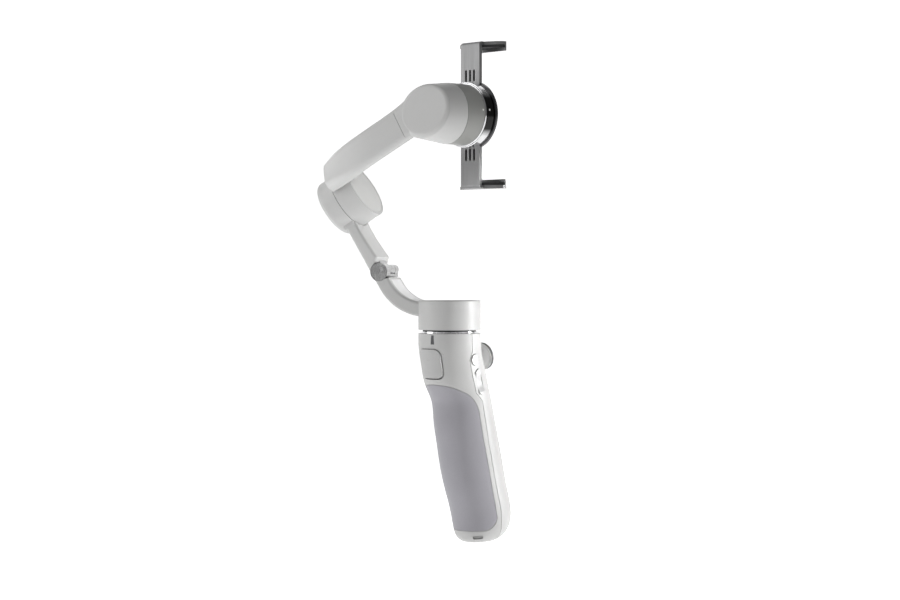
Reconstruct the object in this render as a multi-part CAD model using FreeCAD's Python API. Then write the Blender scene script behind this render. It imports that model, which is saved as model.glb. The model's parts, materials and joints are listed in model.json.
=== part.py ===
import FreeCAD, Part
import math
import os

# Handheld three-axis phone gimbal, all lengths in millimetres, +Z up.
# Origin: mouth of the tripod socket in the flat base of the handle.
# The thumb controls face -Y, the trigger and the back of the phone clamp face +Y.

V = FreeCAD.Vector
X, Y, Z = V(1, 0, 0), V(0, 1, 0), V(0, 0, 1)

# Handle
HANDLE_TOP = 123.8
PAN_Y = 22.6                 # the pan axis is vertical through (0, PAN_Y)
WALL = 2.0
PAD_THICK = 1.2
SEAM_GAP = 0.2               # half of the groove between two covers
PAD_GROOVE = 0.35            # width and depth of the groove around the grip pad
BUTTON_GAP = 0.2
BASE_FRONT_ROUND = 18.0
BASE_REAR_ROUND = 5.0
# height, how far the centre lies in front of the pan axis, half width in X, half depth in Y
STATIONS = [
    (0.0, 29.3, 16.9, 18.5), (17.6, 26.3, 17.1, 18.9), (29.8, 22.7, 17.3, 19.6),
    (45.0, 18.4, 17.5, 19.9), (60.4, 14.9, 17.5, 19.4), (72.5, 12.2, 17.5, 18.8),
    (84.5, 9.6, 17.6, 17.8), (93.8, 5.7, 18.0, 19.1), (104.9, 2.5, 18.2, 18.8),
    (113.5, 0.5, 18.3, 18.35), (118.0, 0.0, 18.3, 18.3), (HANDLE_TOP, 0.0, 18.3, 18.3)]

# Telescopic rod, along the slant of the grip
SLANT = math.radians(14.1)
ROD_DIR = V(0, math.sin(SLANT), math.cos(SLANT))
ROD_LENGTH = 113.0
ROD_GUIDE_R = 6.9
ROD_WALL = 0.55
ROD_PLAY = 0.15
ROD_TOP = V(0, PAN_Y, HANDLE_TOP)

# Fittings in the handle
INSERT_R = 4.6
INSERT_LENGTH = 9.0
THREAD_R = 2.55              # bore of the quarter inch tripod thread
THREAD_DEPTH = 7.5
SCREW_X = 12.2
SCREW_HEIGHTS = (26.0, 68.0)
SCREW_R = 0.9
BOSS_R = 2.0
LANYARD_HALF = 3.0           # half length and half width of the lanyard pocket
LANYARD_HALF_WIDTH = 1.15
LANYARD_DEPTH = 3.4
LANYARD_WALL = 1.1
LIGHT_COUNT = 4
LIGHT_R = 0.75
LIGHT_PITCH = 4.2

# Trigger, buttons and joystick
TRIGGER_HALF = 8.7
TRIGGER_LOW, TRIGGER_HIGH = 97.2, 115.1
TRIGGER_MID = (TRIGGER_LOW + TRIGGER_HIGH) / 2
TRIGGER_PIN = V(0, 36.7, 112.0)
TRIGGER_PIN_R = 0.9
TRIGGER_PIN_HALF = 9.45
TRIGGER_BOSS_HALF = 7.0
BUTTON_R = 3.3
ZOOM_HALF = 7.6
ZOOM_HALF_WIDTH = 2.3
DIP_R = 14.0                 # hollow of the rocker's face
DIP_DEPTH = 0.6
RECORD_R = 4.6
JOYSTICK_PIVOT = V(0, 7.9, 107.4)
JOYSTICK_LEAN = math.radians(10)
BEZEL_R = 9.45
BEZEL_BORE = 5.6
BALL_R = 3.0
STEM_R = 2.0
STEM_LENGTH = 13.0
TRUNNION_R = 0.7
TRUNNION_BORE = 0.78
RING_HALF = 1.2              # half height of the joystick's tilting ring
CAP_R = 8.0
CAP_LOW, CAP_HIGH = 12.4, 14.9
DISH_R = 16.0

# Motors: an outer cup turns round a fixed stator on a hollow hub
CUP_WALL = 1.5
STATOR_R = 13.3
STATOR_H = 7.0
TEETH = 12
WINDING_REACH = 9.6          # a winding slot between two teeth, and its mouth at the rim
WINDING_R = 1.75
MOUTH_R = 0.6
MAGNET_RI = 13.9
BEARING_H = 2.0
HUB_R = 4.0
HUB_RI = 3.2
SHAFT_R = 2.0
BEARING_PLAY = 0.03
PAN_R = 18.3
PAN_BOTTOM = 125.9
PAN_TOP = 143.1
BASE_RING_R = 17.1

# Arms: both lower arms lie in one upright plane through the pan axis
BEARING_DEG = 23.0           # direction of that plane, from +X towards +Y
DROP_DEG = 31.1              # how far the tilt axis drops below level
MOTOR_R = 17.5
ROLL_R = 17.6
ROLL_SEAM = 22.4             # distance of the roll motor's joint behind the phone's back plane
TILT_FACE = 80.7             # distances along the tilt axis from the clamp centre
TILT_SEAM = 93.1
TILT_CAP_R = 15.75
TILT_CAP_DEPTH = 0.6
TILT_BACK = 104.8
BAND_INNER = 91.3
BAND_ROOT = 92.5             # its inner face is cut back to here where the leg sweeps past
BAND_ROOT_Q = 27.0
BAND_OUTER = 99.8
BAND_HALF = 10.0
COLLAR_R = 19.6              # swelling where the arm leaves the tilt motor
ARM_LEVEL = 137.7            # centre height of the level end of the lower arm
ARM_BEND_R = 29.0
HINGE_S = 92.8               # fold hinge axis, in the same distances
HINGE_Q = 48.4
BARREL_R = 3.0
DISC_S = 94.6
DISC_Q = 48.9
DISC_R = 5.3
HINGE_PIN_R = 1.2

# Upper arm: an L parallel to the tilt axis, ending in the roll motor
LEG_OUT = 40.0               # outer face of the long leg, from the tilt axis
# Sections of the leg: distance along the tilt axis, distance out from it, offset across,
# half width, half thickness, turn about the tilt axis in degrees
LEG_SECTIONS = [
    (15.0, 35.8, 3.3, 11.6, 4.0, 0),
    (24.0, 35.85, 2.5, 10.5, 4.0, 0),
    (34.0, 35.9, 2.2, 10.1, 4.0, 0),
    (54.0, 35.6, 2.4, 10.1, 4.0, 1),
    (72.0, 31.5, 4.2, 10.4, 4.2, 10),
    (84.0, 23.8, 7.5, 10.6, 4.5, 23),
    (92.1, 17.6, 10.2, 10.2, 4.5, 30),
]
LEG_ROUND = 3.2
LEG_END = 92.1
LEG_CORNER_R = 6.5           # rounded outer corner of the leg's end
LEG_CORNER_W = 10.2
HEAD_LENGTH = 34.0
HEAD_TAPER = 20.0            # length over which the head narrows
COVER_END = 30.0             # where the cover's joint crosses the leg
COVER_THICK = 1.4
HEAD_END_R = 15.4            # the roll motor's head narrows from ROLL_R to this
HEAD_ROUND = 3.0
WEB_HOLES = 6                # lightening holes round the roll motor's hub
WEB_HOLE_R = 3.4
WEB_HOLE_REACH = 11.6

# Phone clamp, in front of the roll motor
CLAMP = V(-13.9, 16.7, 250.5)      # centre of the back plane of a clamped phone
JAW_HALF = 42.5                    # outer face of each jaw, from the centre
JAW_OPEN_HALF = 39.1               # half of the opening
STRIP_HALF = 7.45
JAW_WING = 17.5                    # half width of a jaw's front edge
RING_R = 19.0
RING_BORE = 17.0
DISC_BACK_R = 20.0
DISC_BACK_H = 1.5
MAGNET_R = 12.0
SLOT_PITCH = 3.2                   # three slots through each jaw's strip
SLOT_HALF = 3.5
SLOT_HALF_WIDTH = 0.75
SLOT_FROM_CENTRE = 22.9

PARTS = {}

BEARING = math.radians(BEARING_DEG)
DROP = math.radians(DROP_DEG)
H = V(math.cos(BEARING), math.sin(BEARING), 0)
N = V(math.sin(BEARING), -math.cos(BEARING), 0)
TILT = H * math.cos(DROP) - Z * math.sin(DROP)
DOWN = H * -math.sin(DROP) - Z * math.cos(DROP)
ARM_M = (TILT - Y * TILT.dot(Y)).normalize()
ARM_W = ARM_M.cross(Y)
ARM_P = ARM_W.cross(TILT)


def placement(origin, x_axis, z_axis):
    return FreeCAD.Placement(origin, FreeCAD.Rotation(x_axis, z_axis.cross(x_axis), z_axis, "ZXY"))


# Local frames: x, y and z of each are named in its comment
ARM_PLANE = placement(CLAMP, TILT, TILT.cross(DOWN))     # tilt axis, down the arm, -N
LEG_FACE = placement(CLAMP, TILT, ARM_P)                 # tilt axis, across, away from it
PAN_BASE = placement(V(0, PAN_Y, HANDLE_TOP + 1.2), X, Z)
TILT_BASE = placement(CLAMP + TILT * (TILT_SEAM + 0.15), ARM_W, TILT * -1)
ROLL_BASE = placement(CLAMP + Y * ROLL_SEAM, X, Y * -1)


def outline(start, *steps):
    """Edges of a closed flat outline; a step is a point, or a (via, end) pair for an arc."""
    edges = []
    here = V(*start, 0)
    for step in steps + (start,):
        if isinstance(step[0], tuple):
            via, there = V(*step[0], 0), V(*step[1], 0)
            edges.append(Part.Arc(here, via, there).toShape())
        else:
            there = V(*step, 0)
            if there.distanceToPoint(here) > 1e-6:
                edges.append(Part.makeLine(here, there))
        here = there
    return edges


def plate(frame, edges, low, high):
    """The outline, extruded along the frame's z from low to high."""
    face = Part.Face(Part.Wire(edges))
    face.translate(V(0, 0, low))
    shape = face.extrude(V(0, 0, high - low))
    shape.Placement = frame
    return shape


def rounded(half_x, half_y, radius, cx=0.0, cy=0.0):
    """Edges of a rounded rectangle."""
    k = radius * (1 - math.sqrt(0.5))
    x0, x1, y0, y1 = cx - half_x, cx + half_x, cy - half_y, cy + half_y
    return outline((x0 + radius, y0), (x1 - radius, y0), ((x1 - k, y0 + k), (x1, y0 + radius)),
                   (x1, y1 - radius), ((x1 - k, y1 - k), (x1 - radius, y1)),
                   (x0 + radius, y1), ((x0 + k, y1 - k), (x0, y1 - radius)),
                   (x0, y0 + radius), ((x0 + k, y0 + k), (x0 + radius, y0)))


def rod(r, start, end):
    """A round bar between two points."""
    return Part.makeCylinder(r, start.distanceToPoint(end), start, end - start)


def tube(ro, ri, start, end):
    return rod(ro, start, end).cut(rod(ri, start, end))


def local_rod(frame, r, low, high, x=0.0, y=0.0):
    return rod(r, frame.multVec(V(x, y, low)), frame.multVec(V(x, y, high)))


def local_tube(frame, ro, ri, low, high):
    return local_rod(frame, ro, low, high).cut(local_rod(frame, ri, low, high))


def fillet(shape, radius, pick):
    """Round the edges whose two ends and middle all satisfy pick(point)."""
    edges = []
    for edge in shape.Edges:
        mid = edge.valueAt((edge.FirstParameter + edge.LastParameter) / 2)
        if all(pick(p) for p in [v.Point for v in edge.Vertexes] + [mid]):
            edges.append(edge)
    return shape.makeFillet(radius, edges)


def fuse(*shapes):
    return shapes[0].fuse(list(shapes[1:])).removeSplitter()


# ------------------------------------------------------------------ handle

def station(z):
    """Centre offset and half sizes of the grip at a height, between the listed stations."""
    for low, high in zip(STATIONS, STATIONS[1:]):
        if z <= high[0]:
            k = max(0.0, (z - low[0]) / (high[0] - low[0]))
            return [a + k * (b - a) for a, b in zip(low[1:], high[1:])]
    return list(STATIONS[-1][1:])


def centre_y(z):
    return PAN_Y - station(z)[0]


def rounding(radius, height):
    """How far a quarter round of this radius has come in at a height above its base."""
    if height >= radius:
        return 0.0
    return radius - math.sqrt(radius ** 2 - (radius - height) ** 2)


def grip_wire(z, grow):
    front, a, b = station(z)
    rise = z + min(grow, 0.0)
    in_front = rounding(BASE_FRONT_ROUND + min(grow, 0), rise)
    in_rear = rounding(BASE_REAR_ROUND + min(grow, 0), rise)
    mean = (in_front + in_rear) / 2
    cy = PAN_Y - front + (in_front - in_rear) / 2
    a, b = a + grow - mean, b + grow - mean
    count = 24
    points = []
    for i in range(count):
        angle = 2 * math.pi * i / count
        points.append(V(a * math.cos(angle), cy + b * math.sin(angle), z))
    curve = Part.BSplineCurve()
    steps = [i / count for i in range(count + 1)]
    curve.interpolate(Points=points, PeriodicFlag=True, Parameters=steps)
    return Part.Wire(curve.toShape())


def grip_solid(grow=0.0, lid=0.0):
    """The outer form of the handle, grown or shrunk evenly; lid lowers its top."""
    floor = max(0.0, -grow)
    heights = [floor + rise for rise in (0, 0.6, 2.2, 5.0, 9.0)]
    heights += [s[0] for s in STATIONS if s[0] > 12]
    heights[-1] = HANDLE_TOP - lid
    return Part.makeLoft([grip_wire(z, grow) for z in heights], True, False)


def seam_line(shift):
    """Points (y, z) of the joint between the front cover and the rear shell."""
    offsets = [(-3, 0), (20, 0), (40, 0), (60, 0), (84.5, 0), (89.5, 3.2), (99, 3.2), (108.5, 3.2),
               (114, 0), (HANDLE_TOP + 3, 0)]
    return [(centre_y(z) + d + shift, z) for z, d in offsets]


SIDE = placement(V(0, 0, 0), Y, X)       # local x = Y, local y = Z


def front_region(shift=0.0):
    line = seam_line(shift)
    edges = outline((-60, -3), *line, (-60, HANDLE_TOP + 3))
    return plate(SIDE, edges, -30, 30)


def pad_region(grow=0.0):
    """Side view of the grip pad: straight front edge, round corners, a long curve on top."""
    def at(z, d):
        return (centre_y(z) + d - grow, z)
    low, corner = 7.5 - grow, 8.0
    c = at(low + corner, 3.7)
    bulge = corner * (1 - math.sqrt(0.5))
    edges = outline(c, at(30, 3.7), at(55, 3.7), at(76, 3.9),
                    (at(83.5 + grow, 5.4), at(90.2 + grow, 11.5)),
                    (at(93.2 + grow, 17.0), (52, 94.2 + grow)),
                    (52, low), (c[0] + corner, low), ((c[0] + bulge, low + bulge), c))
    return plate(SIDE, edges, -30, 30)


def surface_frame(z, alpha_deg):
    """Frame on the grip surface: z outward, y up the slant. alpha is from +Y towards -X."""
    front, a, b = station(z)
    alpha = math.radians(alpha_deg)
    out = V(-math.sin(alpha), math.cos(alpha), 0)
    angle = math.atan2(out.y * b, out.x * a)
    point = V(a * math.cos(angle), PAN_Y - front + b * math.sin(angle), z)
    slope = (centre_y(z + 3) - centre_y(z - 3)) / 6
    up = V(0, slope, 1).normalize()
    up = (up - out * up.dot(out)).normalize()
    return placement(point, up.cross(out), out)


FACING_REAR = placement(V(0, 0, TRIGGER_MID), X * -1, Y)    # local y = Z
JOYSTICK_DIR = V(0, -math.cos(JOYSTICK_LEAN), math.sin(JOYSTICK_LEAN))
JOYSTICK = placement(JOYSTICK_PIVOT, X, JOYSTICK_DIR)

SIDE_BUTTON = surface_frame(108.7, 94)
ZOOM = surface_frame(95.8, 95)
RECORD = surface_frame(91.5, 180)
USB = surface_frame(97.0, -97)
LANYARD = surface_frame(3.6, 38)
LIGHTS = [surface_frame(80.5 - LIGHT_PITCH * i, 180) for i in range(LIGHT_COUNT)]
SCREWS = [(x, centre_y(z), z) for z in SCREW_HEIGHTS for x in (-SCREW_X, SCREW_X)]

outer = grip_solid()
skin_floor = grip_solid(-PAD_THICK, PAD_THICK)
cavity = grip_solid(-WALL, WALL)
proud = grip_solid(0.8, 0.0)
deep = grip_solid(-3.4, 3.4)
front = front_region(-SEAM_GAP)
front_plus = front_region(SEAM_GAP)

rod_bottom = ROD_TOP - ROD_DIR * ROD_LENGTH
GUIDE_RI = ROD_GUIDE_R - ROD_WALL
guide_bore = rod(ROD_GUIDE_R, rod_bottom - ROD_DIR, ROD_TOP + ROD_DIR * 4)


def slanted_box(cx, cy_offset, sx, sy, z0, z1):
    """A box inside the grip that follows its slant."""
    base = V(cx, centre_y(z0) + cy_offset, z0)
    up = V(0, centre_y(z1) - centre_y(z0), z1 - z0)
    length = up.Length
    frame = placement(base, X, up.normalize())
    return plate(frame, rounded(sx / 2, sy / 2, min(sx, sy) * 0.2), 0, length)


def cut_between(shape, z0, z1):
    box = Part.makeBox(80, 80, z1 - z0, V(-40, -40, z0))
    return shape.common(box)


def build_handle():
    pad = outer.cut(skin_floor).common(pad_region())
    trigger_window = plate(FACING_REAR, rounded(TRIGGER_HALF, TRIGGER_MID - TRIGGER_LOW, 4.2), 24, 60)
    bezel_hole = local_rod(JOYSTICK, BEZEL_R + 0.15, 0, 14)
    side_hole = local_rod(SIDE_BUTTON, BUTTON_R + BUTTON_GAP, -6, 6)
    zoom_edges = rounded(ZOOM_HALF_WIDTH + BUTTON_GAP, ZOOM_HALF + BUTTON_GAP, ZOOM_HALF_WIDTH + 0.1)
    zoom_hole = plate(ZOOM, zoom_edges, -6, 6)
    record_hole = local_rod(RECORD, RECORD_R + BUTTON_GAP, -6, 6)
    usb_hole = plate(USB, rounded(1.9, 4.8, 1.85), -7, 6)
    light_bars = fuse(*[local_rod(f, LIGHT_R, -3, 3) for f in LIGHTS])
    socket_hole = rod(INSERT_R, V(0, 0, -1), V(0, 0, 12))
    pocket_edges = rounded(LANYARD_HALF, LANYARD_HALF_WIDTH, LANYARD_HALF_WIDTH - 0.05)
    lanyard_hole = plate(LANYARD, pocket_edges, -LANYARD_DEPTH, 5)
    liner_edges = rounded(LANYARD_HALF + LANYARD_WALL, LANYARD_HALF_WIDTH + LANYARD_WALL, 2.0)
    lanyard_liner = plate(LANYARD, liner_edges, -LANYARD_DEPTH - LANYARD_WALL, 0)

    shell = outer.cut(cavity).cut(guide_bore)
    bosses = []
    boss_holes = []
    for x, y, z in SCREWS:
        bosses.append(rod(BOSS_R, V(x, y - 14, z), V(x, y + 14, z)))
        boss_holes.append(rod(SCREW_R, V(x, y - 8.0, z), V(x, y + 30, z)))
    boss_block = fuse(*bosses).common(cavity)
    shell = shell.fuse(boss_block)

    cover = shell.common(front).cut(bezel_hole).cut(side_hole).cut(zoom_hole)
    cover = cover.cut(record_hole).cut(usb_hole).cut(light_bars).cut(socket_hole)
    for hole in boss_holes:
        cover = cover.cut(hole)
    PARTS["front_cover"] = cover

    groove = outer.cut(grip_solid(-PAD_GROOVE, PAD_GROOVE)).common(pad_region(PAD_GROOVE))
    rear = shell.cut(front_plus).cut(groove).cut(pad).cut(trigger_window).cut(socket_hole)
    rear = rear.fuse(lanyard_liner.common(cavity))
    rear = rear.cut(side_hole).cut(usb_hole).cut(lanyard_hole)
    for hole in boss_holes:
        rear = rear.cut(hole)
    ears = []
    for side in (-1, 1):
        corner = V(side * TRIGGER_PIN_HALF - 0.7, 34.2, TRIGGER_PIN.z - 2.5)
        block = Part.makeBox(1.4, 5.2, 5.0, corner)
        ears.append(block.common(skin_floor))
    rear = fuse(rear, *ears)
    reach = X * (TRIGGER_PIN_HALF + 0.05)
    pin_bore = rod(TRIGGER_PIN_R, TRIGGER_PIN - reach, TRIGGER_PIN + reach)
    mark = outline((-1.2, 117.7), (1.2, 117.7), (0.85, 123.0), (-0.85, 123.0))
    mark_frame = placement(V(-3.7, PAN_Y + 18.6, 0), X * -1, Y)
    mark_block = plate(mark_frame, mark, -3, 3)
    mark_piece = outer.cut(grip_solid(-0.6, 0.3)).common(mark_block)
    PARTS["alignment_mark"] = mark_piece
    PARTS["rear_shell"] = rear.cut(pin_bore).cut(mark_piece)
    PARTS["grip_pad"] = pad.cut(lanyard_hole)

    bezel = outer.cut(cavity).common(local_rod(JOYSTICK, BEZEL_R, 0, 14))
    PARTS["joystick_bezel"] = bezel.cut(local_rod(JOYSTICK, BEZEL_BORE, 0, 20))
    PARTS["status_lights"] = outer.cut(cavity).common(light_bars)
    half_pin = X * TRIGGER_PIN_HALF
    PARTS["trigger_pin"] = rod(TRIGGER_PIN_R, TRIGGER_PIN - half_pin, TRIGGER_PIN + half_pin)

    insert = rod(INSERT_R, V(0, 0, 0), V(0, 0, INSERT_LENGTH))
    PARTS["tripod_insert"] = insert.cut(rod(THREAD_R, V(0, 0, -1), V(0, 0, THREAD_DEPTH)))

    guide = tube(ROD_GUIDE_R, GUIDE_RI, rod_bottom, ROD_TOP + ROD_DIR * 4)
    PARTS["rod_guide"] = cut_between(guide, 0, HANDLE_TOP)
    PARTS["battery_pack"] = slanted_box(0, -11.4, 15, 6.6, 26, 80)
    PARTS["main_board"] = slanted_box(0, 9.6, 17, 1.2, 24, 88)
    port = plate(USB, rounded(1.6, 4.5, 1.55), -6.4, -0.4)
    PARTS["usb_port"] = port.cut(plate(USB, rounded(1.3, 4.2, 1.25), -5.6, 0))
    screws = [rod(SCREW_R, V(x, y - 7.8, z), V(x, y + 8.0, z)) for x, y, z in SCREWS]
    PARTS["handle_screws"] = Part.makeCompound(screws)

    base = local_tube(JOYSTICK, 7.0, 5.2, -2.8, RING_HALF)
    bore = rod(TRUNNION_BORE, JOYSTICK_PIVOT - X * 6.5, JOYSTICK_PIVOT + X * 6.5)
    PARTS["joystick_base"] = base.cut(bore)


def build_controls():
    half_height = TRIGGER_MID - TRIGGER_LOW - 0.5
    window = plate(FACING_REAR, rounded(TRIGGER_HALF - 0.4, half_height, 3.8, 0, 0.2), 24, 60)
    face = proud.cut(cavity).common(window)
    half_boss = X * TRIGGER_BOSS_HALF
    boss = rod(1.9, TRIGGER_PIN - half_boss, TRIGGER_PIN + half_boss)
    groove = Part.makeBox(14, 3, 0.3, V(-7, TRIGGER_PIN.y + 3.6, 108.3))
    groove = groove.cut(grip_solid(0.55))
    bore = rod(TRIGGER_PIN_R + 0.05, TRIGGER_PIN - X * 12, TRIGGER_PIN + X * 12)
    trigger = fuse(face, boss).cut(bore)
    PARTS["trigger"] = trigger.cut(groove)

    thick = proud.cut(deep)
    PARTS["side_button"] = thick.common(local_rod(SIDE_BUTTON, BUTTON_R, -6, 6))
    rocker = plate(ZOOM, rounded(ZOOM_HALF_WIDTH, ZOOM_HALF, ZOOM_HALF_WIDTH - 0.05), -6, 6)
    dip_z = DIP_R - DIP_DEPTH
    dip = rod(DIP_R, ZOOM.multVec(V(-5, 0, dip_z)), ZOOM.multVec(V(5, 0, dip_z)))
    PARTS["zoom_rocker"] = thick.common(rocker).cut(dip)
    PARTS["record_button"] = thick.common(local_rod(RECORD, RECORD_R, -6, 6))
    switches = []
    for frame, x, y in ((SIDE_BUTTON, 0, 0), (ZOOM, 0, 5.4), (ZOOM, 0, -5.4), (RECORD, 0, 0)):
        switches.append(plate(frame, rounded(1.4, 1.4, 0.3, x, y), -6.3, -4.6))
    low_switch = V(0, TRIGGER_PIN.y - 6.0, TRIGGER_LOW + 3)
    switches.append(Part.makeBox(4, 2.6, 4, low_switch - V(2, 0, 0)))
    PARTS["button_switches"] = Part.makeCompound(switches)

    ring = local_tube(JOYSTICK, 4.5, 3.3, -RING_HALF, RING_HALF)
    trunnions = []
    for side in (-1, 1):
        near, far = JOYSTICK_PIVOT + X * (side * 4.0), JOYSTICK_PIVOT + X * (side * 6.4)
        trunnions.append(rod(TRUNNION_R, near, far))
    cross = JOYSTICK_DIR.cross(X)
    bore = rod(TRUNNION_BORE, JOYSTICK_PIVOT - cross * 6, JOYSTICK_PIVOT + cross * 6)
    PARTS["joystick_ring"] = fuse(ring, *trunnions).cut(bore)
    ball = Part.makeSphere(BALL_R, JOYSTICK_PIVOT)
    stem = local_rod(JOYSTICK, STEM_R, 0, STEM_LENGTH)
    pins = rod(TRUNNION_R, JOYSTICK_PIVOT - cross * 4.3, JOYSTICK_PIVOT + cross * 4.3)
    PARTS["joystick_stem"] = fuse(ball, stem, pins)
    cap = local_rod(JOYSTICK, CAP_R, CAP_LOW, CAP_HIGH)
    cap = fillet(cap, 1.1, lambda p: (p - JOYSTICK_PIVOT).dot(JOYSTICK_DIR) > CAP_HIGH - 0.1)
    skirt = Part.makeCone(3.4, 6.6, 3.0, JOYSTICK_PIVOT + JOYSTICK_DIR * 9.5, JOYSTICK_DIR)
    dish = Part.makeSphere(DISH_R, JOYSTICK_PIVOT + JOYSTICK_DIR * (CAP_HIGH + DISH_R - 0.9))
    cap = fuse(cap, skirt).cut(dish)
    PARTS["joystick_cap"] = cap.cut(local_rod(JOYSTICK, STEM_R, 0, STEM_LENGTH))


# ------------------------------------------------------------------ rod and motors

def build_rod():
    ro = GUIDE_RI - ROD_PLAY
    for i in (1, 2, 3):
        top = ROD_TOP + ROD_DIR * 6
        stage = tube(ro, ro - ROD_WALL, rod_bottom + ROD_DIR * (0.6 * i), top)
        reach = HANDLE_TOP + 0.25 if i == 3 else HANDLE_TOP - 0.05
        PARTS["rod_tube_%d" % i] = cut_between(stage, 0, reach)
        ro -= ROD_WALL + ROD_PLAY


def stator(frame, start):
    body = local_tube(frame, STATOR_R, HUB_R, start, start + STATOR_H)
    slots = []
    for i in range(TEETH):
        angle = 2 * math.pi * (i + 0.5) / TEETH
        for reach, radius in ((WINDING_REACH, WINDING_R), (STATOR_R, MOUTH_R)):
            x, y = reach * math.cos(angle), reach * math.sin(angle)
            slots.append(local_rod(frame, radius, start - 1, start + STATOR_H + 1, x, y))
    return body.cut(slots)


def motor(name, frame, start, cup_radius, floor):
    """Stator, bearings, magnets and shaft of one motor; floor is the inside of its cup."""
    PARTS[name + "_stator"] = stator(frame, start)
    bearings = [local_tube(frame, HUB_RI, SHAFT_R + BEARING_PLAY, low, low + BEARING_H)
                for low in (start + 0.2, start + STATOR_H - 0.2 - BEARING_H)]
    PARTS[name + "_bearings"] = Part.makeCompound(bearings)
    PARTS[name + "_magnets"] = local_tube(frame, cup_radius - CUP_WALL, MAGNET_RI, start - 0.3,
                                          start + STATOR_H + 0.3)
    PARTS[name + "_shaft"] = local_rod(frame, SHAFT_R, start - 0.8, floor)


def hub(frame, low, high):
    return local_tube(frame, HUB_R, HUB_RI, low, high)


def build_pan():
    ring = local_rod(PAN_BASE, BASE_RING_R, -1.0, 0.0)
    PARTS["pan_base_ring"] = ring
    carrier = fuse(local_rod(PAN_BASE, 15.6, 0.0, 1.4), local_rod(PAN_BASE, HUB_R, 1.0, 10.5))
    PARTS["pan_stator_carrier"] = carrier.cut(local_rod(PAN_BASE, HUB_RI, 1.6, 12))
    floor = PAN_TOP - 1.8 - (HANDLE_TOP + 1.2)
    motor("pan", PAN_BASE, 3.0, PAN_R, floor)

    cup = local_rod(PAN_BASE, PAN_R, PAN_BOTTOM - HANDLE_TOP - 1.2, PAN_TOP - HANDLE_TOP - 1.2)
    cup = fillet(cup, 0.8, lambda p: p.z > PAN_TOP - 0.1)
    inside = local_rod(PAN_BASE, PAN_R - CUP_WALL, -1, floor)
    # The arm runs level out of the cup, bends up and ends in the hinge block.
    mid = (BAND_INNER + BAND_OUTER) / 2
    half = (BAND_OUTER - BAND_INNER) / 2
    level_q = (CLAMP.z - ARM_LEVEL - mid * math.sin(DROP)) / math.cos(DROP)
    turn = math.pi / 2 - DROP
    tangent = ARM_BEND_R * math.tan(turn / 2)
    start_q = level_q - tangent
    centre = V(mid - ARM_BEND_R, start_q, 0)

    def bend(radius, angle):
        return (centre.x + radius * math.cos(angle), centre.y + radius * math.sin(angle))

    def straight(point, length):
        """Onward from the end of the bend, level towards the pan axis."""
        return (point[0] - length * math.sin(turn), point[1] + length * math.cos(turn))

    ri, ro = ARM_BEND_R - half, ARM_BEND_R + half
    inner_end, outer_end = bend(ri, turn), bend(ro, turn)
    top_q = HINGE_Q + 2.0
    edges = outline((BAND_INNER, top_q), (BAND_INNER, start_q), (bend(ri, turn / 2), inner_end),
                    straight(inner_end, 6), straight(outer_end, 6), outer_end,
                    (bend(ro, turn / 2), (BAND_OUTER, start_q)), (BAND_OUTER, top_q))
    band = plate(ARM_PLANE, edges, -BAND_HALF, BAND_HALF)
    def long_edge(p):
        return abs(abs((p - CLAMP).dot(N)) - BAND_HALF) < 0.01
    band = fillet(band, 1.6, long_edge)
    disc_clear = local_rod(ARM_PLANE, DISC_R + 0.12, -12, 12, DISC_S, DISC_Q)
    barrel_clear = local_rod(ARM_PLANE, BARREL_R + 3.4, -12, 12, HINGE_S - 1.6, HINGE_Q)
    band = band.cut(disc_clear).cut(barrel_clear)

    # Inset panel along the inner face, following the bend
    deep_s, in_n = BAND_INNER + 0.8, 6.9
    rd = ri + 0.8
    panel_low = start_q - 2.0
    near_turn = turn * 0.92
    panel = outline((BAND_INNER - 0.4, panel_low), (deep_s, panel_low), (deep_s, start_q),
                    (bend(rd, near_turn / 2), bend(rd, near_turn)), bend(ri - 0.4, near_turn),
                    (bend(ri - 0.4, near_turn / 2), (BAND_INNER - 0.4, start_q)))
    pocket = plate(ARM_PLANE, panel, -in_n - 0.12, in_n + 0.12)
    arm = fuse(cup, band).cut(inside).cut(pocket)
    PARTS["pan_housing"] = arm
    cover = plate(ARM_PLANE, panel, -in_n, in_n)
    sheet_low = panel_low + 0.25
    hollow = outline((BAND_INNER, sheet_low), (BAND_INNER, start_q),
                     (bend(ri, near_turn / 2), bend(ri, near_turn)), bend(rd + 1, near_turn),
                     (bend(rd + 1, near_turn / 2), (deep_s + 1, start_q)), (deep_s + 1, sheet_low))
    PARTS["lower_arm_cover"] = cover.common(plate(ARM_PLANE, hollow, -in_n, in_n)).cut(
        local_rod(PAN_BASE, PAN_R, 0, 30))
    build_hinge(arm)


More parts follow.
